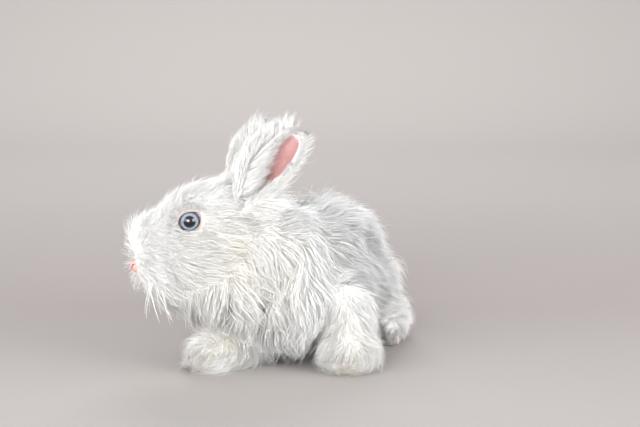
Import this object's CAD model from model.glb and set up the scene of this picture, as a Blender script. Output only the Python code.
# %% [markdown]
# # A young angora rabbit
# A museum shows such an animal as a still, life-size model: a skin stretched over a form, glass eyes,
# and a long, soft, white coat. This lesson dresses the plain CAD solids of that model. The solids
# arrive as a fixed frame, and every new piece is placed by them.

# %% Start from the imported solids
import math

import bpy
import numpy as np
from mathutils import Euler, Matrix, Vector


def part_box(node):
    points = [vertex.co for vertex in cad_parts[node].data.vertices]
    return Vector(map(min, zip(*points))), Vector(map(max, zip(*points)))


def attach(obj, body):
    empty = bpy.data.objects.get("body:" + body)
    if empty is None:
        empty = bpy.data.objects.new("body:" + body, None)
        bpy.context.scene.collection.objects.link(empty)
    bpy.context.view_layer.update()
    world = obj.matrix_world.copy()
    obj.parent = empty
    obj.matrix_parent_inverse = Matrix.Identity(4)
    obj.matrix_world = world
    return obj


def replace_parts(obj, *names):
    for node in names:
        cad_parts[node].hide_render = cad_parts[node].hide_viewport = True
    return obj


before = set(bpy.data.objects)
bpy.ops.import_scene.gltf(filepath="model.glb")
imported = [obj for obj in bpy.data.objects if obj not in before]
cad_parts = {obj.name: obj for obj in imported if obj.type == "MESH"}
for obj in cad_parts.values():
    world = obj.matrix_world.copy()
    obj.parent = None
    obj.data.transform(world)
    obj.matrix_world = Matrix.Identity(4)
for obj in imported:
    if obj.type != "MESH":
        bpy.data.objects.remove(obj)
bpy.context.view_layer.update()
MM = 0.001
print("nodes:", ", ".join(sorted(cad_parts)))

# %% [markdown]
# The rabbit is worked out in millimetres, in a frame of its own: it faces -Y and its left is +X. The
# head is turned to its right and tipped. The two eyes of the CAD model tell where that frame lies in
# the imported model, so one shift brings every later point home.

# %% The head's own frame, and the way home
HEAD_YAW = 65.0
HEAD_PITCH = 18.0
EYE_MIDPOINT = (-61.9, -86.9, 99.4)
EYE_OFFSET = 16.4
LEVEL_HEAD = Matrix.Translation(EYE_MIDPOINT) @ Matrix.Rotation(math.radians(-HEAD_YAW), 4, "Z")
HEAD = LEVEL_HEAD @ Matrix.Rotation(math.radians(HEAD_PITCH), 4, "X")
packed_eyes = [sum(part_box(name), Vector()) / 2 for name in ("eye_left", "eye_right")]
SHIFT = np.array(sum(packed_eyes, Vector()) / 2) / MM - np.array(EYE_MIDPOINT)


def home(points):
    """Points of the rabbit's frame in mm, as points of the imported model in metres."""
    return (np.asarray(points, float) + SHIFT) * MM


def placed(frame_matrix, points):
    """Points of another frame, such as the head's, in the rabbit's frame: turned, then moved."""
    turn = np.array(frame_matrix)
    return np.asarray(points, float) @ turn[:3, :3].T + turn[:3, 3]


def in_frame(frame_matrix, points):
    """The other way: points of the rabbit's frame as a head sees them."""
    return placed(frame_matrix.inverted(), points)


print("shift to the packed model in mm:", SHIFT.round(2))

# %% [markdown]
# Under its coat the animal is a few rounded masses of muscle and bone. Each is an ellipsoid with a
# name for the coat that grows on it, the same values as in the solids.

# %% Masses of flesh
COAT_DEPTH = {"torso": 15, "neck": 15, "cheek": 12, "skull": 8, "muzzle": 8, "leg": 9, "paw": 7,
              "thigh": 10, "foot": 5, "tail": 10}
HEAD_TURN = HEAD.to_3x3()
SPINE_X = -9.0
TRUNK = [((0, -34, 63), (23, 28, 29)), ((0, 0, 61), (23, 40, 30)), ((0, 34, 58), (23, 34, 31)),
         ((0, 55, 45), (22, 22, 26)), ((0, -4, 43), (27, 42, 23)), ((-4, -50, 43), (20, 19, 24))]
NECK = [((-21, -54, 77), (18, 20, 20)), ((-34, -64, 76), (18, 20, 20)),
        ((-32, -74, 53), (12, 14, 17)), ((-48, -82, 54), (13, 12, 11))]
PAW_FROM_TOE = Vector((0, 12, 7))
masses = []
hind_feet = []


def mass(part, centre, radii, coat, turn=(0, 0, 0)):
    """Adds an ellipsoid of flesh: its part, centre and radii in mm, its coat, its turn in degrees."""
    axes = Euler([math.radians(a) for a in turn]).to_matrix()
    masses.append((part, Vector(centre), radii, coat, axes))


def head_mass(back, side, up, radii, coat):
    """Adds an ellipsoid that is placed and turned with the head."""
    masses.append(("head", HEAD @ Vector((side, back, up)), radii, coat, HEAD_TURN))


def foreleg(part, toe, elbow, shoulder):
    """Adds a shoulder, a forearm and a paw, and gives the paw's middle and the way it points."""
    toe, elbow = Vector(toe), Vector(elbow)
    tilt = math.degrees(math.atan2(elbow.z - toe.z, (elbow.xy - toe.xy).length))
    aim = math.degrees(math.atan2(elbow.x - toe.x, elbow.y - toe.y))
    mass(part, shoulder, (12, 14, 14), "leg")
    forearm = (toe + elbow) / 2 + Vector((0, 4, 6))
    mass(part, forearm, (9, (elbow - toe).length / 2, 9), "leg", (tilt, 0, -aim))
    mass(part, toe + PAW_FROM_TOE, (12, 16, 7), "paw", (0, 0, -aim))
    return toe + PAW_FROM_TOE, aim


for centre, radii in TRUNK:
    mass("torso", Vector(centre) + Vector((SPINE_X, 0, 0)), radii, "torso")
for centre, radii in NECK:
    mass("neck", centre, radii, "neck")
head_mass(9, 0, -5, (18, 28, 17), "skull")
head_mass(-17, 0, -15, (14, 20, 20), "muzzle")
for side in (1, -1):
    head_mass(-26, 7 * side, -21, (9, 12, 10), "muzzle")
    head_mass(0, 9 * side, -20, (12, 22, 16), "cheek")
    mass("hind", (SPINE_X + side * 23, 44, 33), (10, 25, 20), "thigh")
    mass("hind", (SPINE_X + side * 30, 52, 16), (8, 15, 10), "thigh")
    foot = Vector((SPINE_X + side * 37, 52, 8))
    mass("hind", foot, (6, 26, 6), "foot", (0, 0, 12 * side))
    hind_feet.append((foot, -12 * side))
head_mass(-16, 0, -31, (11, 18, 11), "cheek")
mass("tail", (SPINE_X, 88, 32), (7, 9, 12), "tail", (-25, 0, 0))
paws = [foreleg("fore", (31, -58, 2), (27, -36, 28), (22, -34, 36)),
        foreleg("fore", (-51, -80, 2), (-36, -28, 10), (-30, -38, 34))]
part_of = np.array([m[0] for m in masses])
centres = np.array([m[1] for m in masses])
radii = np.array([m[2] for m in masses], float)
axes = np.array([m[4] for m in masses])
depths = np.array([COAT_DEPTH[m[3]] for m in masses], float)
print(len(masses), "masses of flesh")

# %% [markdown]
# The coat has to follow the whole body smoothly, also where two masses meet. For that the ellipsoids
# become one field: for any point it tells how far above the flesh the point is, which way is out, and
# how much each mass has a say there. An ellipsoid's distance is close to k0 (k0 - 1) / k1, where k0
# is the length of the point divided by the radii and k1 the same divided by the squared radii. A soft
# minimum blends them.

# %% The field round the flesh
SOFT = 2.0


def flesh(points):
    """For each point: height above the flesh in mm, the way out, and the share of each mass."""
    local = np.einsum("nmj,mji->nmi", points[:, None] - centres, axes)
    k0 = np.linalg.norm(local / radii, axis=2) + 1e-9
    slope = local / radii ** 2
    k1 = np.linalg.norm(slope, axis=2) + 1e-9
    apart = k0 * (k0 - 1) / k1
    nearest = apart.min(axis=1, keepdims=True)
    say = np.exp((nearest - apart) / SOFT)
    total = say.sum(axis=1, keepdims=True)
    say /= total
    out = np.einsum("nm,nmi,mji->nj", say / k1, slope, axes)
    out /= np.linalg.norm(out, axis=1, keepdims=True) + 1e-9
    return (nearest - SOFT * np.log(total))[:, 0], out, say


def unit(vectors):
    """Each vector divided by its length."""
    return vectors / (np.linalg.norm(vectors, axis=-1, keepdims=True) + 1e-9)


def ease(values, low, high):
    """0 below low, 1 above high, and a smooth step 3t^2 - 2t^3 between."""
    t = np.clip((values - low) / (high - low), 0, 1)
    return t * t * (3 - 2 * t)


print("height of the eyes' midpoint over the flesh:", flesh(np.array([EYE_MIDPOINT]))[0].round(1))

# %% [markdown]
# The photograph was taken from a little above the rabbit's eyes, well in front of its left shoulder,
# with a long lens. The camera is set the same way.

# %% Camera
AZIMUTH, ELEVATION = math.radians(20), math.radians(7.5)
CAMERA_SPOT = (336.7, -942.4, 225.3)
LENS, SENSOR = 85, 36
lens = bpy.data.cameras.new("camera")
lens.lens = LENS
lens.sensor_width = SENSOR
camera = bpy.data.objects.new("camera", lens)
bpy.context.scene.collection.objects.link(camera)
bpy.context.scene.camera = camera
to_camera = Vector((math.sin(AZIMUTH) * math.cos(ELEVATION),
                    -math.cos(AZIMUTH) * math.cos(ELEVATION), math.sin(ELEVATION)))
camera.location = Vector(home(CAMERA_SPOT))
camera.rotation_euler = to_camera.to_track_quat("Z", "Y").to_euler()
print("camera at", [round(v, 3) for v in camera.location])

# %% [markdown]
# ## Helpers
# A grid of points becomes quads between neighbours. A closed shape may end in a single point at
# either end, which a fan of triangles joins to the last ring. The sign of the volume tells if such a
# shape is inside out, and then its faces are turned.

# %% Meshes from arrays
collection = bpy.context.scene.collection
NO_TRIS = np.zeros((0, 3), int)
SIDES = ((1, "left"), (-1, "right"))


def grid_quads(rows, columns, round_rows=False):
    """Point numbers of the quads of a grid whose columns close on themselves."""
    upper = np.arange(rows if round_rows else rows - 1)
    r, c = np.meshgrid(upper, np.arange(columns), indexing="ij")
    r2, c2 = (r + 1) % rows, (c + 1) % columns
    quads = [r * columns + c, r * columns + c2, r2 * columns + c2, r2 * columns + c]
    return np.stack(quads, -1).reshape(-1, 4)


def capped(rings, first, last):
    """A closed shape from rings of points and a point at each end: points, quads and triangles."""
    rows, columns, _ = rings.shape
    points = np.concatenate([rings.reshape(-1, 3), [first, last]])
    c = np.arange(columns)
    c2 = (c + 1) % columns
    start = np.stack([np.full(columns, rows * columns), c2, c], -1)
    below = (rows - 1) * columns
    end = np.stack([np.full(columns, rows * columns + 1), below + c, below + c2], -1)
    return points, grid_quads(rows, columns), np.concatenate([start, end])


def turned_out(points, quads, tris):
    """The faces, each turned round where the volume that they hold is negative."""
    every = np.concatenate([quads[:, :3], quads[:, [0, 2, 3]], tris])
    a, b, c = (points[every[:, i]] for i in range(3))
    if np.einsum("ij,ij->", a, np.cross(b, c)) < 0:
        return quads[:, ::-1], tris[:, ::-1]
    return quads, tris


def piece(name, points, quads, tris=NO_TRIS, finish=None):
    """An object at the origin from points in mm; its faces are smooth and it rides on the body."""
    mesh = bpy.data.meshes.new(name)
    corners = np.concatenate([quads.ravel(), tris.ravel()]).astype(np.int32)
    sizes = np.concatenate([np.full(len(quads), 4), np.full(len(tris), 3)])
    mesh.vertices.add(len(points))
    mesh.vertices.foreach_set("co", home(points).astype(np.float32).ravel())
    mesh.loops.add(len(corners))
    mesh.loops.foreach_set("vertex_index", corners)
    mesh.polygons.add(len(sizes))
    loop_starts = np.concatenate([[0], np.cumsum(sizes)[:-1]])
    mesh.polygons.foreach_set("loop_start", loop_starts.astype(np.int32))
    mesh.update(calc_edges=True)
    mesh.polygons.foreach_set("use_smooth", np.ones(len(sizes), bool))
    made = bpy.data.objects.new(name, mesh)
    collection.objects.link(made)
    if finish:
        mesh.materials.append(finish.material)
    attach(made, "root")
    return made


def mark(made, name, values):
    """Gives each point of a piece a number that its material can read."""
    layer = made.data.attributes.new(name, "FLOAT", "POINT")
    layer.data.foreach_set("value", np.asarray(values, np.float32).ravel())


print("mesh helpers ready")

# %% [markdown]
# A finish is a material whose colours are worked out by nodes. Writing those as Python sums is far
# shorter: a wire wraps a socket, and each sign between two wires, or a wire and a number, adds a
# Math node.

# %% Finishes from sums


class Wire:
    """A shader socket that can stand in a sum."""

    def __init__(self, finish, socket):
        self.finish = finish
        self.socket = socket

    def math(self, operation, *values, **settings):
        """A Math node of this operation."""
        settings["operation"] = operation
        return self.finish.node("ShaderNodeMath", settings, dict(enumerate(values)))

    def held(self):
        """The value kept between 0 and 1."""
        return self.math("ADD", self, 0.0, use_clamp=True)


SIGNS = {"add": "ADD", "sub": "SUBTRACT", "mul": "MULTIPLY", "truediv": "DIVIDE", "pow": "POWER"}
for sign, operation in SIGNS.items():
    setattr(Wire, f"__{sign}__", lambda a, b, work=operation: a.math(work, a, b))
    setattr(Wire, f"__r{sign}__", lambda a, b, work=operation: a.math(work, b, a))


class Finish:
    """A material with one Principled shader, whose constants are set on its own sockets."""

    def __init__(self, name, slot=None, **constants):
        self.slot = slot
        self.material = bpy.data.materials.new(name)
        self.material.use_nodes = True
        self.tree = self.material.node_tree
        self.surface = self.tree.nodes["Principled BSDF"]
        for socket, value in constants.items():
            self.surface.inputs[socket.replace("_", " ")].default_value = value

    def node(self, kind, settings=None, values=None, out=0):
        """Any node: its settings first, then the values or wires of its sockets."""
        made = self.tree.nodes.new(kind)
        for key, value in (settings or {}).items():
            setattr(made, key, value)
        for key, value in (values or {}).items():
            if isinstance(value, Wire):
                self.tree.links.new(value.socket, made.inputs[key])
            else:
                made.inputs[key].default_value = value
        return Wire(self, made.outputs[out])

    def place(self):
        """Where a point is, in metres."""
        return self.node("ShaderNodeTexCoord", out="Object")

    def read(self, name):
        """A number that the piece carries at each point."""
        return self.node("ShaderNodeAttribute", {"attribute_name": name}, out="Fac")

    def noise(self, size, detail=3.0, stretch=(1, 1, 1)):
        """Cloudy noise from 0 to 1 whose clouds are this many mm across."""
        vector = self.node("ShaderNodeMapping", values={"Vector": self.place(), "Scale": stretch})
        values = {"Vector": vector, "Scale": 1 / (size * MM), "Detail": detail}
        return self.node("ShaderNodeTexNoise", values=values)

    def near(self, spot, inner, outer):
        """1 within inner mm of a spot of the rabbit's frame, falling to 0 at outer mm."""
        away = self.vector_math("DISTANCE", self.place(), home(spot))
        return ((outer * MM - away) / ((outer - inner) * MM)).held()

    def vector_math(self, operation, wire, vector, out="Value"):
        """A wire and a fixed vector, worked together."""
        values = {0: wire, 1: tuple(vector)}
        return self.node("ShaderNodeVectorMath", {"operation": operation}, values, out)

    def mix(self, a, b, factor):
        """Colour a where the factor is 0 and colour b where it is 1."""
        first, second = (c if isinstance(c, Wire) else (*c, 1) for c in (a, b))
        return self.node("ShaderNodeMix", {"data_type": "RGBA"}, {0: factor, 6: first, 7: second}, 2)

    def bump(self, height, depth):
        """Raises the surface by a height from 0 to 1, times a depth in mm."""
        values = {"Height": height, "Strength": 1.0, "Distance": depth * MM}
        self.set("Normal", self.node("ShaderNodeBump", values=values))

    def blend(self, a, b, factor):
        """Sets the colour to a mix of two."""
        self.set("Base Color", self.mix(a, b, factor))

    def set(self, socket, wire):
        """Links a wire to the shader."""
        self.tree.links.new(wire.socket, self.surface.inputs[socket])


print("finish helpers ready")

# %% [markdown]
# ## Light and ground
# The photograph has a seamless sheet of warm grey paper that runs from the floor up behind the animal,
# and very soft light. Here the wall stands well behind, so that a camera can go round the rabbit, and
# the soft dark band where the paper bends is a shade of the floor.

# %% Paper sweep
PAPER_BACK = 1.6
PAPER_BEND = 0.5
SHEET_LONG, SHEET_WIDE = 8.0, 9.0
SHEET_ROWS, SHEET_COLUMNS = 120, 40
BAND_START, BAND_END = 0.15, 0.26
PAPER_DARK, PAPER_LIGHT = (0.272, 0.247, 0.243), (0.300, 0.281, 0.275)
AIM = (-math.sin(AZIMUTH), math.cos(AZIMUTH), 0.0)
paper = Finish("paper", Roughness=0.92)
depth = paper.vector_math("DOT_PRODUCT", paper.place(), AIM)
lit = ((BAND_START - depth) / 0.3).held() + ((depth - BAND_END) / 0.6).held()
lit = lit + (paper.noise(260, 2) - 0.5) * 0.15
paper.blend(PAPER_DARK, PAPER_LIGHT, lit.held())
paper.bump(paper.noise(3), 0.05)


def sweep_profile(travel):
    """Floor, quarter turn and wall as one line: distance behind the rabbit, and height, in metres."""
    bend = PAPER_BEND * math.pi / 2
    turn = np.clip((travel - PAPER_BACK) / bend, 0, 1) * math.pi / 2
    up = np.maximum(travel - PAPER_BACK - bend, 0)
    back = np.minimum(travel, PAPER_BACK) + PAPER_BEND * np.sin(turn)
    return back, PAPER_BEND * (1 - np.cos(turn)) + up


back, up = sweep_profile(np.linspace(-SHEET_LONG, SHEET_LONG, SHEET_ROWS))
across = np.linspace(-SHEET_WIDE, SHEET_WIDE, SHEET_COLUMNS)
flat = back[:, None, None] * np.array(AIM[:2]) + across[None, :, None] * np.array((AIM[1], -AIM[0]))
sheet_points = np.dstack([flat, np.broadcast_to(up[:, None], flat.shape[:2])]).reshape(-1, 3)
quads = grid_quads(SHEET_ROWS, SHEET_COLUMNS)
quads = quads[(quads[:, 0] % SHEET_COLUMNS) < SHEET_COLUMNS - 1]
floor = piece("paper_sweep", sheet_points / MM - SHIFT, quads[:, ::-1], finish=paper)
print("paper sweep of", len(quads), "faces")

# %% [markdown]
# Four soft boxes look at the rabbit's middle: one from its left, one from the front, one low, so that
# paws and chest are as bright as the face, and one from behind for the far side. The camera doesn't
# see the boxes themselves. A pale room gives the rest of the light.

# %% Soft boxes
RABBIT_MIDDLE = Vector((0, 0, 0.08))
SOFT_BOXES = {  # spot in metres, side in metres, power in watts
    "right": ((1.8, -0.6, 0.4), 1.1, 40),
    "front": ((-1.0, -1.9, 0.6), 1.2, 22),
    "low": ((0.2, -1.7, 0.25), 0.9, 52),
    "back": ((-0.7, 1.7, 1.4), 1.3, 34),
}
ROOM_COLOUR = (1, 0.995, 0.98, 1)
ROOM_STRENGTH = 1.2
for name, (spot, size, power) in SOFT_BOXES.items():
    lamp = bpy.data.lights.new(name, "AREA")
    lamp.size = size
    lamp.energy = power
    made = bpy.data.objects.new(name, lamp)
    made.location = spot
    made.rotation_euler = (Vector(spot) - RABBIT_MIDDLE).to_track_quat("Z", "Y").to_euler()
    made.visible_camera = False
    collection.objects.link(made)
world = bpy.data.worlds.new("room")
world.use_nodes = True
room = world.node_tree.nodes["Background"]
room.inputs["Color"].default_value = ROOM_COLOUR
room.inputs["Strength"].default_value = ROOM_STRENGTH
bpy.context.scene.world = world
bpy.context.scene.view_settings.view_transform = "Standard"
print(len(SOFT_BOXES), "soft boxes and a pale room")

# %% [markdown]
# ## Colours of coat and skin
# An angora of this kind is white, yet never one white: the face, chest and paws are creamy, the back
# has a cool cast, the feet are stained by the ground, and hair is duller at its root. Skin and coat
# share one colour rule, read from where a point is, so the marks go through the whole coat.

# %% Shared markings
MUZZLE = HEAD @ Vector((0, -30, -22))
CHEEK = HEAD @ Vector((17, 4, -24))
BROW = HEAD @ Vector((10, -8, 14))
CHEST = (-34, -70, 58)
BACK = (-4, 20, 88)
WHITE, COOL_WHITE = (0.965, 0.965, 0.955), (0.86, 0.875, 0.90)
CREAM, STAIN, DULL_ROOT = (0.93, 0.88, 0.735), (0.62, 0.42, 0.22), (0.86, 0.825, 0.74)
# Spots with the mm within which a mark is full and beyond which it is gone, and how strong it is
WARMED = [(MUZZLE, 8, 34, 0.3), (CHEEK, 8, 34, 0.5), (CHEST, 18, 54, 1.0), (BROW, 4, 24, 0.2),
          (paws[0][0], 12, 34, 0.6), (paws[1][0], 12, 34, 0.6)]
STAINED = [(paws[0][0] + Vector((4, -21, -7)), 5, 14, 1), (paws[1][0] + Vector((-6, -18, -7)), 5, 15, 1)]
BLUSHED = [(HEAD @ Vector((side * (EYE_OFFSET + 3), 0, 0)), 8, 14, 1) for side in (1, -1)]
BLUSHED.append((HEAD @ Vector((0, -42, -21)), 3, 8, 1))


def marks(finish, spots):
    """The sum of round marks."""
    return sum(finish.near(spot, inner, outer) * much for spot, inner, outer, much in spots)


def markings(finish):
    """White, cooled on the back, warmed on face, chest and paws, and stained at the toes."""
    colour = finish.mix(WHITE, COOL_WHITE, finish.near(BACK, 30, 85) * 0.9)
    warm = (marks(finish, WARMED) * (finish.noise(9) + 0.4)).held()
    colour = finish.mix(colour, CREAM, warm * 0.85)
    stain = (marks(finish, STAINED) * (finish.noise(3) * 1.8 - 0.3)).held()
    return finish.mix(colour, STAIN, stain * 0.8)


hair = Finish("angora_wool", "white_coat", Roughness=0.55, Specular_IOR_Level=0.15,
              Subsurface_Weight=0.85, Subsurface_Radius=(1, 1, 1), Subsurface_Scale=0.005)
hair.blend(DULL_ROOT, markings(hair), (hair.read("rise") * 1.6 + 0.3).held())
hair.set("Roughness", 0.5 + hair.noise(1.2) * 0.25)

skin_finish = Finish("skin_and_underwool", Roughness=0.8)
blush = marks(skin_finish, BLUSHED).held()
skin_finish.blend(markings(skin_finish), (0.40, 0.29, 0.28), blush * 0.85)
skin_finish.bump(skin_finish.noise(1.1), 0.5)
print("coat and skin finishes ready")

# %% [markdown]
# ## Skin
# One skin covers the whole animal, so no seam shows. It lies inside the solids: the masses are grown
# by a third of their coat, and a voxel remesh melts them into one closed surface, as a taxidermist's
# form has. An ellipsoid is a unit ball, swept by two angles, stretched, turned and moved.

# %% Body of the skin
SKIN_SHARE = 0.3
SKIN_VOXEL = 1.5
FLOOR_GAP = 0.3


def ball_angles(rows, columns):
    """The two angles that sweep a ball, without its two poles."""
    down = np.linspace(0, np.pi, rows + 2)[1:-1]
    return np.meshgrid(down, np.arange(columns) * math.tau / columns, indexing="ij")


def unit_ball(rows, columns):
    """Rings of a ball: (sin a cos b, sin a sin b, cos a)."""
    a, b = ball_angles(rows, columns)
    return np.stack([np.sin(a) * np.cos(b), np.sin(a) * np.sin(b), np.cos(a)], -1)


def joined(shapes):
    """Several shapes as one: the faces of each count on from the points before them."""
    starts = np.cumsum([0] + [len(points) for points, _, _ in shapes])
    quads, tris = (np.concatenate([s[i] + n for s, n in zip(shapes, starts)]) for i in (1, 2))
    return np.concatenate([s[0] for s in shapes]), quads, tris


def outward(points, quads, tris):
    """A closed shape whose faces point out."""
    return (points, *turned_out(points, quads, tris))


def ellipsoid(middle, sizes, turn):
    """A closed ellipsoid."""
    rings, poles = ((part * sizes) @ np.array(turn).T + middle
                    for part in (unit_ball(20, 32), np.array([(0, 0, 1.0), (0, 0, -1.0)])))
    return outward(*capped(rings, *poles))


grown_sizes = radii + SKIN_SHARE * depths[:, None]
lumps = piece("lumps", *joined([ellipsoid(*each) for each in zip(centres, grown_sizes, axes)]))
melt = lumps.modifiers.new("melt", "REMESH")
melt.mode = "VOXEL"
melt.voxel_size = SKIN_VOXEL * MM
soften = lumps.modifiers.new("soften", "SMOOTH")
soften.factor = 0.5
soften.iterations = 5
graph = bpy.context.evaluated_depsgraph_get()
melted = bpy.data.meshes.new_from_object(lumps.evaluated_get(graph))
flat_co = np.zeros(len(melted.vertices) * 3, np.float32)
melted.vertices.foreach_get("co", flat_co)
body_points = flat_co.reshape(-1, 3) / MM - SHIFT
body_points[:, 2] = np.maximum(body_points[:, 2], FLOOR_GAP)
loops = np.zeros(len(melted.loops), np.int32)
melted.loops.foreach_get("vertex_index", loops)
body_quads = loops.reshape(-1, 4)
bpy.data.objects.remove(lumps)
print("body of the skin:", len(body_quads), "faces")

# %% [markdown]
# ## Ears
# An ear is a leaf rolled into a cup. Its cross-section is an arc with a thickness and two round rims.
# Along the ear the arc opens out, widens to the middle and closes to a soft point. In the photograph
# the left ear leans farther back than the right one.

# %% Ears as a function of two shares
EAR_BASE = (13.0, 34.0, 8.0)
EAR_TIP = {1: (24.0, 67.0, 52.0), -1: (22.0, 55.0, 58.0)}
EAR_FACING = (0.85, -0.5, 0.0)
EAR_WIDTH = 21.0
EAR_LENGTH = {1: 1.0, -1: 0.88}
EAR_SUNK = 4.0
EAR_BOW = (118.0, 52.0)
EAR_ROOT_WIDTH = 0.38
EAR_WIDEST = 0.5
EAR_THICK = 1.15
ARC, RIM, ALONG = 22, 5, 45


def ear_frame(side):
    """Across, facing and length directions of an ear, its base and its length."""
    base = LEVEL_HEAD @ Vector((side * EAR_BASE[0], *EAR_BASE[1:]))
    tip = LEVEL_HEAD @ Vector((side * EAR_TIP[side][0], *EAR_TIP[side][1:]))
    along = (tip - base).normalized()
    facing = LEVEL_HEAD.to_3x3() @ Vector((side * EAR_FACING[0], *EAR_FACING[1:]))
    facing = (facing - along * facing.dot(along)).normalized()
    length = (tip - base).length * EAR_LENGTH[side]
    return np.array(along.cross(facing)), np.array(facing), np.array(along), np.array(base), length


def ear_surface(side, share, turn, roll, extra=0.0):
    """Points of an ear: share along it, turn -1 to 1 over its arc, roll 0 outside to pi inside.

    The point sits on the arc of the given radius and moves off it by half the thickness, outwards
    where roll is 0, towards the rim at pi / 2, and into the cup at pi. Also gives the outward way.
    """
    across, facing, along, base, length = ear_frame(side)
    rise = -EAR_SUNK + share * (length + EAR_SUNK)
    s = np.clip(rise / length, 0, 1)
    flare = EAR_ROOT_WIDTH + (1 - EAR_ROOT_WIDTH) * np.sin(np.minimum(s / EAR_WIDEST, 1) * np.pi / 2)
    past = np.maximum(s - EAR_WIDEST, 0) / (1 - EAR_WIDEST)
    close = np.sqrt(np.clip(1 - past ** 2.2, 0, 1))
    half = EAR_WIDTH / 2 * flare * close
    bow = np.radians(EAR_BOW[0] + (EAR_BOW[1] - EAR_BOW[0]) * s)
    radius = half / np.sin(np.minimum(bow, np.pi / 2))
    wave = 0.5 * np.sin(s * 9 + 2 * side) * np.abs(turn) ** 3
    angle = turn * bow
    e = across * np.sin(angle)[..., None] - facing * np.cos(angle)[..., None]
    f = across * np.cos(angle)[..., None] + facing * np.sin(angle)[..., None]
    thick = EAR_THICK * (1 - 0.45 * s) + extra
    way = e * np.cos(roll)[..., None] + f * np.sin(roll)[..., None]
    centre = base + along * rise[..., None] + facing * (radius + wave)[..., None]
    return centre + e * radius[..., None] + way * thick[..., None], way


arc = np.linspace(-1, 1, ARC)
edge = np.linspace(0, np.pi, RIM + 2)[1:-1]
turns = np.concatenate([arc, np.ones(RIM), arc[::-1], -np.ones(RIM)])
rolls = np.concatenate([np.zeros(ARC), edge, np.full(ARC, np.pi), np.pi + edge])
shares = np.sin(np.linspace(0, np.pi / 2, ALONG + 1))[:-1]


def ear_blade(side):
    """The closed blade of one ear, and for each point how much it belongs to the pink lining."""
    share, turn = np.meshgrid(shares, turns, indexing="ij")
    roll = np.broadcast_to(rolls, share.shape)
    rings, _ = ear_surface(side, share, turn, roll)
    _, _, along, base, length = ear_frame(side)
    points, quads, tris = capped(rings, rings[0].mean(axis=0), base + along * (length + 0.8))
    inside = ease(-np.cos(roll), 0.2, 0.9) * (1 - 0.4 * ease(share, 0.95, 1))
    inside = inside * (1 - 0.6 * ease(np.abs(turn), 0.8, 1))
    return (points, *turned_out(points, quads, tris)), np.append(inside.ravel(), (0, 0))


blades = [ear_blade(side) for side in (1, -1)]
print("two ear blades of", len(shares) * len(turns) + 2, "points")

# %% [markdown]
# Body and ears are one piece, which replaces all the solids of flesh. The faces of the ears have a
# material of their own: the markings of the coat outside, and a pink, veined lining inside.

# %% The skin with its ears
body = (body_points, body_quads, NO_TRIS)
skin = piece("skin", *joined([body] + [shape for shape, _ in blades]), skin_finish)
mark(skin, "lining", np.concatenate([np.zeros(len(body_points))] + [inside for _, inside in blades]))

ear_finish = Finish("ear_lining", Roughness=0.5, Subsurface_Weight=0.15)
vein = ear_finish.noise(2.2, 4, (1, 1, 0.35))
veins = 1 - (vein.math("ABSOLUTE", vein - 0.5) * 16).held()
pink = ear_finish.mix((0.50, 0.265, 0.25), (0.36, 0.165, 0.165), ear_finish.noise(9))
pink = ear_finish.mix(pink, (0.42, 0.15, 0.16), veins * 0.4)
ear_finish.blend(markings(ear_finish), pink, ear_finish.read("lining"))
ear_finish.bump(ear_finish.noise(0.9) + veins * 0.4, 0.25)
skin.data.materials.append(ear_finish.material)
is_ear = np.arange(len(skin.data.polygons)) >= len(body_quads)
skin.data.polygons.foreach_set("material_index", is_ear.astype(np.int32))
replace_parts(skin, "head", "neck", "torso", "tail", "foreleg_left", "foreleg_right", "hindleg_left",
            "hindleg_right", "ear_left", "ear_right")
print("skin with ears:", len(skin.data.polygons), "faces")

# %% [markdown]
# ## Eyes
# A museum's glass eye is a ball with a slightly bulging front. Seen from the side the iris fills
# nearly the whole opening: pale grey-blue, with a dark outer ring, fine spokes and a large dark pupil.
# The colour is a function of the distance from the eye's axis, which the head's own directions give.

# %% Eyeballs
IRIS = 6.3
PUPIL = 3.7
BALL = 7.55
BULGE = 0.45


def eyeball(side):
    """A ball whose radius is r = BALL + BULGE e^(-(a / 0.6)^2), where a is the angle from its axis."""
    a, b = ball_angles(48, 64)
    r = BALL + BULGE * np.exp(-(a / 0.6) ** 2)
    away = r * np.sin(a)
    local = np.stack([side * r * np.cos(a) + side * EYE_OFFSET, away * np.cos(b), away * np.sin(b)], -1)
    poles = [(side * (EYE_OFFSET + BALL + BULGE), 0, 0), (side * (EYE_OFFSET - BALL), 0, 0)]
    return outward(*capped(placed(HEAD, local), *placed(HEAD, poles)))


eye = Finish("glass_eye", Roughness=0.3, Specular_IOR_Level=0.0, Coat_Weight=1.0, Coat_Roughness=0.02)
from_middle = eye.vector_math("SUBTRACT", eye.place(), home(EYE_MIDPOINT), 0)
behind, above = (eye.vector_math("DOT_PRODUCT", from_middle, HEAD_TURN.col[i] / MM) for i in (1, 2))
off_axis = (behind * behind + above * above) ** 0.5
spoke = above.math("ARCTAN2", above, behind)
spread = eye.node("ShaderNodeCombineXYZ", values={0: spoke * 9.0, 1: off_axis * 0.22})
spokes = eye.node("ShaderNodeTexNoise", {"noise_dimensions": "2D"}, {"Vector": spread, "Scale": 2.2})


def band(distance, start, end):
    """0 before start, 1 after end, in mm from the axis."""
    return ((distance - start) / (end - start)).held()


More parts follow.
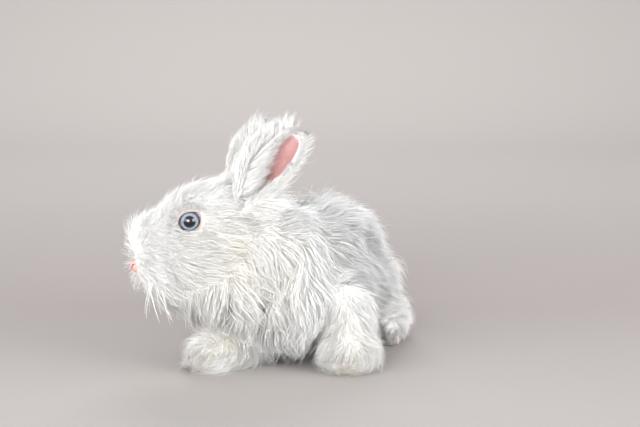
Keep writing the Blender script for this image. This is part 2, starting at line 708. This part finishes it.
blue = eye.mix((0.085, 0.10, 0.13), (0.235, 0.26, 0.30), (spokes * 1.7 - 0.3).held())
blue = eye.mix((0.08, 0.11, 0.17), blue, band(off_axis, PUPIL - 0.1, PUPIL + 0.7))
blue = eye.mix(blue, (0.022, 0.027, 0.042), band(off_axis, IRIS - 1.7, IRIS - 0.45))
black = eye.mix((0.010, 0.004, 0.005), (0.004, 0.005, 0.008), band(off_axis, 0.4, 2.4))
colour = eye.mix(black, blue, band(off_axis, PUPIL - 0.25, PUPIL + 0.12))
eye.blend(colour, (0.62, 0.50, 0.48), band(off_axis, IRIS + 0.1, IRIS + 0.7))
for side, word in SIDES:
    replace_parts(piece("glass_eye_" + word, *eyeball(side), eye), "eye_" + word)
print("two eyes, iris", 2 * IRIS, "mm across")

# %% [markdown]
# Each eye lies in two lids, which are one ring of soft skin. Seen along the eye's axis the opening is
# an oval, a little drawn out at the front-lower and back-upper corners. Across, the ring is a thin
# wedge: a rounded rim that touches the ball, then a slope that dives under the fur. Soft folds, waves
# of its thickness, follow the rim above the eye.

# %% Lids
OPEN_LONG, OPEN_HIGH = 6.55, 5.65
CORNERS = math.radians(-158)
LID_BALL = 7.75


def opening(b):
    """Radius of the opening: an ellipse, and pointed by a power of the cosine at its two corners."""
    oval = 1 / np.sqrt((np.cos(b) / OPEN_LONG) ** 2 + (np.sin(b) / OPEN_HIGH) ** 2)
    return oval + 0.8 * np.abs(np.cos(b - CORNERS)) ** 12


def lid_slope(b, run, gap):
    """Distance from the eye's axis and height along it, as run goes from the rim 0 to the fur 1."""
    start = opening(b)
    ball = np.sqrt(LID_BALL ** 2 - start ** 2)
    return start + 0.4 + run * 1.5, ball + gap - run * 1.7 - run ** 2 * 1.6


def off_eye(side, height, away, b):
    """Points in the head's frame from a height along the eye's axis, a distance from it and an angle."""
    return np.stack([side * (EYE_OFFSET + height), away * np.cos(b), away * np.sin(b)], -1)


def lids(side, around=96, across=18):
    """The ring: its middle line runs from the rim outwards and down, and its thickness thins out."""
    b, c = (np.arange(count) * math.tau / count for count in (around, across))
    b, c = np.meshgrid(b, c, indexing="ij")
    run = (1 - np.cos(c)) / 2
    away, height = lid_slope(b, run, 0.15)
    thick = 0.75 * (1 - 0.6 * run) + 0.18 * np.sin(run * 11) * (np.sin(b) > -0.2)
    local = off_eye(side, height + np.sin(c) * thick, away + np.cos(c) * -0.3, b)
    points = placed(HEAD, local.reshape(-1, 3))
    quads, _ = turned_out(points, grid_quads(around, across, True), NO_TRIS)
    return points, quads, 1 - ease(run, 0.05, 0.45)


lid_finish = Finish("lids", "ear_skin", Roughness=0.45, Subsurface_Weight=0.1)
rim = lid_finish.read("rim")
rosy = (rim + lid_finish.noise(2.0) * 0.4 - 0.15).held()
lid_colour = lid_finish.mix((0.34, 0.285, 0.28), (0.25, 0.175, 0.175), rosy)
lid_finish.blend(lid_colour, (0.13, 0.10, 0.11), ((rim - 0.8) * 6).held() * 0.8)
lid_finish.bump(lid_finish.noise(0.5), 0.12)
for side, word in SIDES:
    points, quads, rims = lids(side)
    made = piece("lids_" + word, points, quads, finish=lid_finish)
    mark(made, "rim", rims)
print("lids ready")

# %% [markdown]
# ## Nose and mouth
# A rabbit's nose is a small naked pad, cut by two slanting slits that wink open as it breathes. A
# groove runs from it down to the split upper lip. The pad is an ellipsoid, pressed in along these
# lines by a bell curve of the distance from them.

# %% Nose pad
NOSE_TIP = (0.6, -41.8, -18.8)
NOSE_RADII = (4.7, 3.6, 4.0)
SLIT = np.array([(1.0, -2.3), (2.5, -0.4), (3.9, 1.9)])
SLIT_DEPTH, GROOVE_DEPTH = 1.7, 0.9


def to_line(x, z, line):
    """Distance in a plane from points to a bent line, the nearest of its straight stretches."""
    best = np.full(x.shape, 99.0)
    for (ax, az), (bx, bz) in zip(line[:-1], line[1:]):
        dx, dz = bx - ax, bz - az
        t = np.clip(((x - ax) * dx + (z - az) * dz) / (dx ** 2 + dz ** 2), 0, 1)
        best = np.minimum(best, np.hypot(x - ax - t * dx, z - az - t * dz))
    return best


def nose_pad():
    """The pad, narrower below, with its slits and groove pressed in; and how deep each point lies."""
    ball = unit_ball(80, 96)
    x, y, z = (ball * NOSE_RADII).transpose(2, 0, 1)
    x = x * (1 + 0.05 * z)
    slit = np.exp(-(to_line(np.abs(x), z, SLIT) / 0.55) ** 2)
    groove = np.exp(-(x / 0.4) ** 2) * ease(-z, 0.2, 2.2)
    pressed = np.maximum(slit * SLIT_DEPTH, groove * GROOVE_DEPTH) * (y < 0)
    local = np.stack([x, y + pressed, z], -1) + NOSE_TIP
    poles = np.array([(0, 0, NOSE_RADII[2]), (0, 0, -NOSE_RADII[2])]) + NOSE_TIP
    shape = outward(*capped(placed(HEAD, local), *placed(HEAD, poles)))
    return shape, np.append((pressed / SLIT_DEPTH).ravel(), (0, 0))


nose_finish = Finish("nose_leather", "ear_skin", Roughness=0.42, Subsurface_Weight=0.1)
nose_pink = nose_finish.mix((0.62, 0.35, 0.33), (0.52, 0.25, 0.24), nose_finish.noise(2.4))
nose_finish.blend(nose_pink, (0.17, 0.035, 0.035), (nose_finish.read("hollow") * 1.4).held())
nose_finish.bump(nose_finish.noise(0.45), 0.15)
shape, hollows = nose_pad()
nose = piece("nose", *shape, nose_finish)
mark(nose, "hollow", hollows)
print("nose pad:", len(nose.data.polygons), "faces")

# %% [markdown]
# Thin parts such as the edge of the lips, whiskers and claws are round rods that taper. A rod's rings
# stand across its path: at each point two directions are built from the way ahead.

# %% Tapered rods
PATH_STEPS = 12


def rod(path, thickness, sides=8):
    """A closed rod along a path of points, with its radius at each: rings of cos and sin."""
    ahead = unit(np.gradient(path, axis=0))
    side = unit(np.cross(ahead, (0.31, 0.17, 0.93)))
    rise = np.cross(side, ahead)
    b = np.arange(sides) * math.tau / sides
    ring = side[:, None] * np.cos(b)[:, None] + rise[:, None] * np.sin(b)[:, None]
    rings = path[:, None] + ring * np.asarray(thickness)[:, None, None]
    return outward(*capped(rings, path[0], path[-1]))


def bent(start, middle, end, steps=PATH_STEPS):
    """A path through a curve with one control point: (1-t)^2 a + 2 t (1-t) b + t^2 c."""
    t = np.linspace(0, 1, steps)[:, None]
    return (1 - t) ** 2 * np.array(start) + 2 * t * (1 - t) * np.array(middle) + t ** 2 * np.array(end)


LIP_SPLIT = (0, -40.0, -29.5)
split = bent((0, -42.3, -22.3), (0, -42.0, -26), LIP_SPLIT)
lips = [rod(placed(HEAD, split), np.full(PATH_STEPS, 0.6))]
for side in (1, -1):
    course = bent(LIP_SPLIT, (3.5 * side, -40.0, -34.0), (11 * side, -32.5, -35.0))
    lips.append(rod(placed(HEAD, course), np.linspace(0.7, 0.35, PATH_STEPS)))
lip_finish = Finish("lips", "ear_skin", Roughness=0.4)
lip_finish.blend((0.70, 0.42, 0.40), (0.50, 0.26, 0.26), lip_finish.noise(3))
lip_finish.bump(lip_finish.noise(0.6), 0.1)
piece("lip_edges", *joined(lips), lip_finish)

chin = ellipsoid(np.array(HEAD @ Vector((0, -34.6, -36))), (4.4, 4.8, 2.6), HEAD_TURN)
chin_finish = Finish("chin", "ear_skin", Roughness=0.6)
chin_finish.blend(markings(chin_finish), (0.80, 0.60, 0.57), chin_finish.noise(2.5) * 0.6)
chin_finish.bump(chin_finish.noise(0.8), 0.3)
piece("lower_lip", *chin, chin_finish)
print("lips ready")

# %% [markdown]
# Whiskers spring from both sides of the muzzle and bend down by their weight. The claws are short
# curved rods of horn, nearly hidden by the wool of the toes.

# %% Whiskers and claws
WHISKER_PAIRS = 11
WHISKER_REACH = (22, 32)
WHISKER_RADII = (0.17, 0.03)
CLAW_SPOTS = (-7.5, -2.6, 2.6, 7.5)
CLAW_RADII = (1.05, 0.12)
rng = np.random.default_rng(3)
whiskers = []
for side in (1, -1) * WHISKER_PAIRS:
    root = np.array((side * rng.uniform(8, 13), rng.uniform(-37, -27), rng.uniform(-28, -19)))
    reach = rng.uniform(*WHISKER_REACH)
    way = (side * rng.uniform(0.2, 0.5), rng.uniform(-0.5, 0.35), rng.uniform(-0.9, -0.2))
    way = unit(np.array(way))
    end = root + way * reach + np.array((0, 0.1, -0.22)) * reach
    course = placed(HEAD, bent(root, root + way * reach * 0.6, end))
    whiskers.append(rod(course, np.linspace(*WHISKER_RADII, PATH_STEPS), 5))
whisker_finish = Finish("whisker", "white_coat", Roughness=0.35)
whisker_finish.blend((0.86, 0.85, 0.83), (0.92, 0.92, 0.92), whisker_finish.noise(6))
piece("whiskers", *joined(whiskers), whisker_finish)

claws = []
feet = [(*paw, 16.5, 0.0) for paw in paws] + [(*foot, 23.0, -1.0) for foot in hind_feet]
for middle, aim, reach, low in feet:
    turn = Matrix.Translation(middle) @ Matrix.Rotation(math.radians(-aim), 4, "Z")
    for spot in CLAW_SPOTS:
        start = (spot * 0.8, -reach + abs(spot) * 0.45, -2.5 + low)
        end = (spot * 0.95, -reach - 5.0 + abs(spot) * 0.5, -5.7 + low)
        middle_point = (spot * 0.9, -reach - 4.5 + abs(spot) * 0.5, -2.6 + low)
        course = placed(turn, bent(start, middle_point, end))
        claws.append(rod(course, np.linspace(*CLAW_RADII, PATH_STEPS)))
claw_finish = Finish("claw_horn", "cream_coat", Roughness=0.3)
claw_finish.blend((0.66, 0.56, 0.47), (0.42, 0.31, 0.24), claw_finish.noise(2.5))
claw_finish.bump(claw_finish.noise(0.5, 2, (1, 1, 5)), 0.08)
piece("claws", *joined(claws), claw_finish)
print(len(whiskers), "whiskers and", len(claws), "claws")

# %% [markdown]
# ## The coat
# Angora wool is very fine, so it lies in soft, pointed tufts that overlap like tiles, and tufts gather
# in locks. Each tuft here is a closed, three-sided, tapered tube. Its path starts on the skin, runs
# along the lie of the coat, and is held at a growing height over the flesh by the field, so it hugs
# the body. Long on back and ruff, it is short on face and feet.

# %% What the wool is like on each stretch
WOOL = {  # length and width of a tuft in mm, and tufts on a square mm
    "torso": (25, 0.60, 0.92), "neck": (23, 0.55, 1.35), "cheek": (16, 0.46, 1.6),
    "skull": (11, 0.42, 2.0), "muzzle": (8, 0.34, 2.9), "leg": (17, 0.50, 1.05),
    "paw": (14, 0.44, 1.6), "thigh": (17, 0.54, 0.85), "foot": (12, 0.44, 1.35),
    "tail": (15, 0.50, 1.5),
}
length_of, width_of, density_of = np.array([WOOL[m[3]] for m in masses]).T
PARTS = ("torso", "neck", "head", "hind", "fore", "tail")
in_part = np.array([part_of == part for part in PARTS]).T.astype(float)


def toward(a, b, share):
    """From a to b by a share for each point."""
    return np.asarray(a) + (np.asarray(b) - np.asarray(a)) * share[:, None]


def column(*values):
    """Numbers and arrays as one array of vectors."""
    return np.stack(np.broadcast_arrays(*values), -1).astype(float)


def lie(points, say):
    """The way the coat runs at each point: every part's own rule, weighted by its share there."""
    x, y, z = points.T
    out = (x - SPINE_X) / 40
    ends = np.maximum(np.clip((-35 - y) / 20, 0, 1), np.clip((y - 62) / 20, 0, 1))
    torso = toward(column(0.5 * out, 0.9, -0.3 - 0.6 * abs(out)), column(0.2 * out, 0.1, -1.0), ends)
    neck = toward((0.1, 0.2, -1.0), (0.4, 0.9, -0.25), np.clip((z - 75) / 20, 0, 1))
    hx, hy, hz = in_frame(HEAD, points).T
    blunt = np.clip((-24 - hy) / 12, 0, 1)
    head = toward(column(0.012 * hx, 1.0, -0.02 * abs(hx)), column(hx / 12, 0.5, (hz + 13) / 12), blunt)
    head = head @ np.array(HEAD_TURN).T
    fore = toward((0, 0.2, -1.0), (-0.1, -1.0, -0.3), np.clip((22 - z) / 14, 0, 1))
    hind = toward((0, 0.6, -0.8), (0, -1.0, -0.2), np.clip((18 - z) / 10, 0, 1))
    tail = column(0.03 * (x - SPINE_X), 0.8, -0.6)
    every = unit(np.stack([torso, neck, head, hind, fore, tail], 1))
    return np.einsum("np,npj->nj", say @ in_part, every)


print("wool of", len(WOOL), "kinds")

# %% [markdown]
# Roots are strewn over the skin in step with the wanted density: the faces are laid end to end by
# their area times density, and one root is drawn from every unit of that long line. Tufts are shorter
# near the eyes and the nose, and bolder on the far side of the muzzle, the nape and the forelegs.

# %% Roots on the skin
EYE_BARE, NOSE_BARE = 7.0, 5.2
corners = body_points[body_quads]
diagonals = corners[:, 2] - corners[:, 0], corners[:, 3] - corners[:, 1]
face_areas = np.linalg.norm(np.cross(*diagonals), axis=1) / 2
face_say = flesh(corners.mean(axis=1))[2]
line = np.cumsum(face_areas * (face_say @ density_of))
count = int(line[-1])
spots = (np.arange(count) + rng.random(count)) * line[-1] / count
drawn = np.searchsorted(line, spots).clip(0, len(line) - 1)
a, b = rng.random((2, count, 1))
p, q, r, s = corners[drawn].transpose(1, 0, 2)
roots = (p * (1 - a) + q * a) * (1 - b) + (s * (1 - a) + r * a) * b
root_say = face_say[drawn]
root_part = part_of[root_say.argmax(axis=1)]
own = in_frame(HEAD, roots)
from_eye = np.where(np.abs(own[:, 0]) > 7, np.hypot(own[:, 1], own[:, 2]), 99)
from_nose = np.linalg.norm(own - np.array(NOSE_TIP), axis=1)
bare = (from_eye < EYE_BARE) | (from_nose < NOSE_BARE)
far_side = ease(-own[:, 0], 1, 5)
on_head = root_part == "head"
shorter = 0.72 + 0.28 * ease(from_eye, 7.5, 20)
shorter = shorter * np.maximum(0.45 + 0.55 * ease(from_nose, 6, 14), far_side)
shorter = shorter * (1 - 0.25 * ease(roots[:, 1], 0, 45) * (root_part == "torso"))
bolder = 1 + 0.35 * ease(-own[:, 1], 26, 34) * np.maximum(ease(from_nose, 12, 17), far_side) * on_head
bolder = bolder + (0.3 + 0.6 * ease(own[:, 2], -22, -4)) * ease(own[:, 1], 10, 24) * on_head
bolder = bolder + 0.3 * (root_part == "fore") * ease(-roots[:, 2], -24, -8)
puff = 0.8 * far_side * ease(-own[:, 1], 26, 33) * on_head
print(count, "roots on", round(face_areas.sum() / 100), "square cm of skin")

# %% [markdown]
# The path takes equal steps. After each one the field tells the height over the flesh, and the point
# is moved out or in to the height it should have, which rises as 1 - (1 - s)^2 of the way to the tip.

# %% Paths that follow the body
BATCH = 4000


def follow(starts, lengths, tops, lean, steps):
    """Paths of points from the skin to the tips: (tufts, steps + 1, 3), with the outward way at each."""
    low, out, say = flesh(starts)
    spot = starts
    spots, ways = [starts - out * 0.4], [out]
    for step in range(1, steps + 1):
        share = step / steps
        heading = lie(spot, say)
        heading = unit(heading - out * (heading * out).sum(axis=1, keepdims=True))
        heading = unit(heading + np.cross(out, heading) * lean[:, None])
        spot = spot + heading * (lengths / steps)[:, None]
        height, out, say = flesh(spot)
        wanted = low + (tops - low) * (1 - (1 - share) ** 2)
        spot = spot + out * (wanted - height)[:, None]
        spots.append(spot)
        ways.append(out)
    return np.stack(spots, 1), np.stack(ways, 1)


def nearest_of(points, others):
    """The number of the nearest other point to each point, worked out a batch at a time."""
    batches = (points[i:i + BATCH, None] for i in range(0, len(points), BATCH))
    return np.concatenate([((batch - others) ** 2).sum(-1).argmin(1) for batch in batches])


def around_eyes(paths):
    """Points over an eye's opening are moved out to its edge, so the hair parts round the eye."""
    own = in_frame(HEAD, paths)
    away = np.hypot(own[..., 1], own[..., 2]) + 1e-6
    edge = opening(np.arctan2(own[..., 2], own[..., 1])) + 0.7
    push = np.where((np.abs(own[..., 0]) > 8) & (away < edge), edge / away, 1.0)
    own[..., 1] *= push
    own[..., 2] *= push
    return placed(HEAD, own)


def locks(starts, lengths, tops, steps, per_lock, pull, wave):
    """Paths gathered in locks: each is drawn to the path of its lock's middle, more towards the tip.

    A slow wave along the lock, the same for all its tufts, and a small scatter of the tips make it
    look like soft wool and not like combed wire.
    """
    n = len(starts)
    middles = rng.permutation(n)[:max(n // per_lock, 1)]
    which = nearest_of(starts, starts[middles])
    lean = rng.normal(0, 0.12 * wave, len(middles))[which] + rng.normal(0, 0.12, n)
    tops = tops * rng.uniform(0.72, 1.22, len(middles))[which]
    paths, ways = follow(starts, lengths, tops, lean, steps)
    share = np.linspace(0, 1, steps + 1)[None, :, None]
    hold = pull * rng.uniform(0.4, 1.0, n)[:, None, None] * share ** 1.4
    paths = paths * (1 - hold) + paths[middles][which] * hold
    phase = rng.uniform(0, math.tau, len(middles))[which][:, None, None]
    sideways = np.cross(unit(paths[:, -1] - paths[:, 0])[:, None], ways)
    paths = paths + sideways * wave * share * np.sin(share * 2.4 + phase)
    paths = paths + rng.normal(0, 1, (n, 1, 3)) * share * wave * 0.5
    paths[..., 2] = np.maximum(paths[..., 2], 0.5)
    return paths, ways


print("path rules ready")

# %% [markdown]
# A tuft is a tube of three sides with a point. It swells a little past its root and then thins out.
# Its place on the coat's own map, named OFBake, is a patch 0.003 across where its root lies on a
# wrap of that part of the skin: the angle round the part's long axis, and the place along it.

# %% Tufts as closed tubes
SWELL = np.array((0.7, 1.0, 0.9, 0.68, 0.42))
PATCH = 0.003


def tuft_piece(name, paths, ways, widths, places, finish, normal_share=0.72):
    """One piece of coat from paths, their outward ways, the tufts' widths and their map places.

    The normals of its points lean towards the outward way of the body, so a coat is lit as one soft
    surface and not as thousands of rods.
    """
    n, steps = paths.shape[0], paths.shape[1] - 1
    ahead = unit(np.gradient(paths, axis=1))[:, :-1]
    side = unit(np.cross(ahead, ways[:, :-1]))
    rise = np.cross(side, ahead)
    b = np.array((0, 1, 2)) * math.tau / 3 + math.pi / 2
    ring = side[:, :, None] * np.cos(b)[:, None] + rise[:, :, None] * (np.sin(b)[:, None] * 0.6)
    swell = np.interp(np.arange(steps) / steps, np.arange(5) / 5, SWELL)
    rings = paths[:, :-1, None] + ring * (widths[:, None] * swell / 2)[:, :, None, None]
    points = np.concatenate([rings.reshape(n, -1, 3), paths[:, -1:]], 1)
    each = points.shape[1]
    first = (np.arange(n) * each)[:, None, None]
    last, tip = (steps - 1) * 3, each - 1
    ends = np.array([(0, 2, 1)] + [(last + i, last + (i + 1) % 3, tip) for i in range(3)])
    wall, ends = turned_out(points[0], grid_quads(steps, 3), ends)
    quads, tris = ((faces[None] + first).reshape(-1, faces.shape[1]) for faces in (wall, ends))
    made = piece(name, points.reshape(-1, 3), quads, tris, finish)
    share = np.append(np.repeat(np.arange(steps) / steps, 3), 1.0)
    mark(made, "rise", np.tile(share, n))
    over = np.append(np.tile((0.0, 0.5, 1.0), steps), 0.5)
    spots = places[:, None] + PATCH * np.stack([over, share], -1)[None]
    layer = made.data.uv_layers.new(name="OFBake")
    corner = np.concatenate([quads.ravel(), tris.ravel()])
    layer.data.foreach_set("uv", spots.reshape(-1, 2)[corner].astype(np.float32).ravel())
    outs = np.concatenate([np.repeat(ways[:, :-1], 3, axis=1), ways[:, -1:]], 1)
    across = np.concatenate([ring.reshape(n, -1, 3), ways[:, -1:]], 1)
    normal_share = np.broadcast_to(normal_share, n)[:, None, None]
    normals = unit(unit(across) * (1 - normal_share) + outs * normal_share)
    made.data.normals_split_custom_set_from_vertices(normals.reshape(-1, 3))


def wrapped(points, middle, turn, half=None):
    """Places on the wrap: the angle round the y axis of a turned frame, and the share along it."""
    local = (points - np.array(middle)) @ np.array(turn)
    angle = np.arctan2(local[:, 0], local[:, 2]) / math.tau + 0.5
    along = (local[:, 1] - local[:, 1].min()) / np.ptp(local[:, 1])
    if half is not None:
        angle = (angle + half) / 2
    return np.stack([angle, along], -1) * 0.99 + 0.002


print("a tuft swells to", SWELL.max(), "of its width and thins to", SWELL[-1], "before its point")

# %% [markdown]
# Every part has its own kind of coat. Some tufts are strays, thinner and higher than the rest, and
# more of them grow on legs and tail. Hair on the head stays close to the form.

# %% The coat of each part
LEVEL = Matrix.Identity(3)
UPRIGHT = Matrix.Rotation(math.pi / 2, 3, "X")
HEAD_TOP, BODY_TOP = 15, 30
# For each part: steps of a path, tufts in a lock, pull of a lock, wave in mm, pieces, wrap frame
COATS = {
    "torso": (3, 80, 0.42, 2.8, 4, (SPINE_X, 0, 55), LEVEL),
    "neck": (4, 100, 0.50, 3.6, 2, (-32, -70, 60), LEVEL),
    "head": (2, 10, 0.30, 0.9, 2, tuple(HEAD @ Vector((0, 0, -12))), HEAD_TURN),
    "hind": (3, 16, 0.5, 1.6, 2, (SPINE_X, 46, 20), LEVEL),
    "fore": (3, 12, 0.65, 2.2, 2, (SPINE_X, -50, 20), UPRIGHT),
    "tail": (3, 16, 0.6, 1.6, 1, (SPINE_X, 88, 32), LEVEL),
}
total = 0
for part, (steps, per_lock, pull, wave, pieces, middle, turn) in COATS.items():
    mine = np.flatnonzero((root_part == part) & ~bare)
    n, say, short, bold, puffed = len(mine), root_say[mine], shorter[mine], bolder[mine], puff[mine]
    low_part = part in ("fore", "hind", "tail")
    stray = rng.random(n) < (0.3 if low_part else 0.14)
    tops = (say @ depths) * short * bold
    tops = tops * (rng.uniform(0.6, 1.08, n) + stray * rng.uniform(0.1, 0.5, n))
    tops = np.minimum(tops * (1 + 0.75 * puffed), HEAD_TOP if part == "head" else BODY_TOP)
    lengths = (say @ length_of) * (0.35 + 0.65 * short) * bold * rng.uniform(0.7, 1.15, n)
    lengths = lengths * (1 - 0.3 * puffed)
    paths, ways = locks(roots[mine], lengths, tops, steps, per_lock, pull, wave)
    if part == "head":
        paths = around_eyes(paths)
    widths = (say @ width_of) * rng.uniform(0.7, 1.2, n) * np.where(stray, 0.5, 1.0)
    half = (roots[mine][:, 0] > middle[0]) * 1.0 if part in ("hind", "fore") else None
    places = wrapped(roots[mine], middle, turn, half)
    softness = 0.5 if low_part else 0.76 - 0.5 * ease(own[mine, 1], 4, 14) * (part == "head")
    softness = np.where(stray | (puffed > 0.2), 0.15, softness)
    order = np.argsort(places[:, 1], kind="stable")
    for i, some in enumerate(np.array_split(order, pieces)):
        name = f"wool_{part}_{i + 1}" if pieces > 1 else f"wool_{part}"
        tuft_piece(name, paths[some], ways[some], widths[some], places[some], hair, softness[some])
        triangles = len(some) * (4 + (steps - 1) * 6)
        total += triangles
        print(name, len(some), "tufts,", triangles, "triangles")
print("wool in all:", total, "triangles")

# %% [markdown]
# Very short hairs grow from the outer slope of the lids, so no bare ring shows between eye and coat.

# %% Hair of the lids
LID_HAIRS = 480


def lid_hair(side, n):
    """Short paths from the lids' outer slope: away from the opening and backwards, then inwards."""
    b = rng.uniform(0, math.tau, n)
    run = rng.uniform(0.35, 1.0, n)
    away, height = lid_slope(b, run, 0.1)
    root = off_eye(side, height, away, b)
    way = unit(column(side * 0.12, np.cos(b) + 0.45, np.sin(b)) + rng.normal(0, 0.08, (n, 3)))
    s = np.linspace(0, 1, 4)[None, :, None]
    long = rng.uniform(3.5, 6.5, n)[:, None, None]
    paths = root[:, None] + way[:, None] * long * s - np.array((side * 0.10, 0, 0)) * long * s ** 2
    ways = np.broadcast_to(np.array((side, 0, 0.0)) @ np.array(HEAD_TURN).T, paths.shape)
    places = np.stack([(b / math.tau + (side > 0)) / 2, run], -1) * 0.98 + 0.005
    return placed(HEAD, paths), ways, places, rng.uniform(0.2, 0.34, n)


fringes = [lid_hair(side, LID_HAIRS) for side in (1, -1)]
paths, ways, places, widths = (np.concatenate([fringe[i] for fringe in fringes]) for i in range(4))
tuft_piece("wool_lids", paths, ways, widths, places, hair, 0.3)
print("lids have", len(paths), "hairs")

# %% [markdown]
# The ears carry wool on their backs, a long fringe along both rims and past the tip, and long hair
# from the front rim that half hides the pink cup. Here a tuft starts on the leaf, lifts off it, and
# bends towards the ear's tip.

# %% Wool of the ears


def ear_tufts(side, n, shares, turns, rolls, reach, lift, toward_cup, droop, thin=1.0, heading=None):
    """Paths that start on an ear: along it, off its surface, round its rim, and down by weight."""
    across, _, along, _, _ = ear_frame(side)
    share = rng.uniform(*shares, n)
    turn = rng.uniform(*turns, n)
    roll = rng.uniform(*rolls, n)
    root, way = ear_surface(side, share, turn, np.where(turn > 0, roll, math.tau - roll), -0.3)
    s = np.linspace(0, 1, 4)[None, :, None]
    long = rng.uniform(*reach, n)[:, None, None]
    rims = across * np.sign(turn)[:, None]
    leans = (along if heading is None else heading) + rng.normal(0, 0.14, (n, 3)) - rims * toward_cup
    long = long * (1 - 0.4 * share[:, None, None] ** 2)
    paths = root[:, None] + leans[:, None] * long * s
    paths = paths + way[:, None] * (lift * np.sin(s * 2.2) * rng.uniform(0.5, 1.3, n)[:, None, None])
    paths = paths + np.array((0, 0, -1.0)) * droop * long / 20 * s ** 2
    middles = rng.permutation(n)[:max(n // 14, 1)]
    hold = 0.6 * thin * s ** 1.5
    paths = paths * (1 - hold) + paths[middles][nearest_of(root, root[middles])] * hold
    ways = np.broadcast_to(way[:, None], paths.shape)
    places = np.stack([(turn + 1) / 2, share], -1) * 0.98 + 0.005
    return paths, ways, places, rng.uniform(0.32, 0.58, n) * thin


def front_rim(side):
    """Whether turn 1 or turn -1 is the rim nearer to the nose."""
    rims, _ = ear_surface(side, np.full(2, 0.4), np.array((1.0, -1.0)), np.zeros(2))
    back = in_frame(LEVEL_HEAD, rims)[:, 1]
    return 1.0 if back[0] < back[1] else -1.0


for side, word in SIDES:
    fore = front_rim(side)
    rear = -fore
    backwards = np.array(HEAD_TURN @ Vector((side * 0.25, 1.0, -0.30)))
    swept = unit(ear_frame(side)[2] + backwards * (0.1 if side > 0 else 0.4))
    # Number, shares of the length, stretches of arc and of roll, reach in mm, lift, lean to the cup,
    # droop, thinness and heading; the ear's own way where no heading is given
    kinds = [
        (2000, (0.04, 0.97), (-1, 1), (0, 0), (9, 14), 3.2, 0.0, 1.0, 1.0, swept),
        (1900, (0.04, 0.98), (fore, fore), (0.3, 1.8), (10, 20), 3.8, -0.45, 0.3, 1.0, swept),
        (1300, (0.14, 0.88), (fore, fore), (1.4, 2.3), (14, 23), 2.6, 0.43, 0.2),
        (1100, (0.08, 0.98), (rear, rear), (0.3, 2.0), (7, 12), 2.0, 0.0, 0.6),
        (150, (0.08, 0.16), (-0.9, 0.9), (3.1, 3.15), (6, 10), 1.5, 0.0, 0.3),
        (500, (0.88, 1.0), (-1, 1), (0.3, 2.2), (5, 9), 1.5, 0.0, 0.6, 1.0, swept),
        (600, (0.25, 1.0), (-1, 1), (0.3, 1.6), (12, 21), 4.5, -0.1, 0.2, 0.5, swept),
        (900, (0.0, 0.30), (-1, 1), (0, 1.7), (13, 25), 3.0, 0.0, 2.0, 0.8, backwards),
    ]
    groups = [ear_tufts(side, *kind) for kind in kinds]
    paths, ways, places, widths = (np.concatenate([group[i] for group in groups]) for i in range(4))
    tuft_piece("wool_ear_" + word, paths, ways, widths, places, hair, 0.0)
    print("ear", word, "has", len(paths), "tufts")
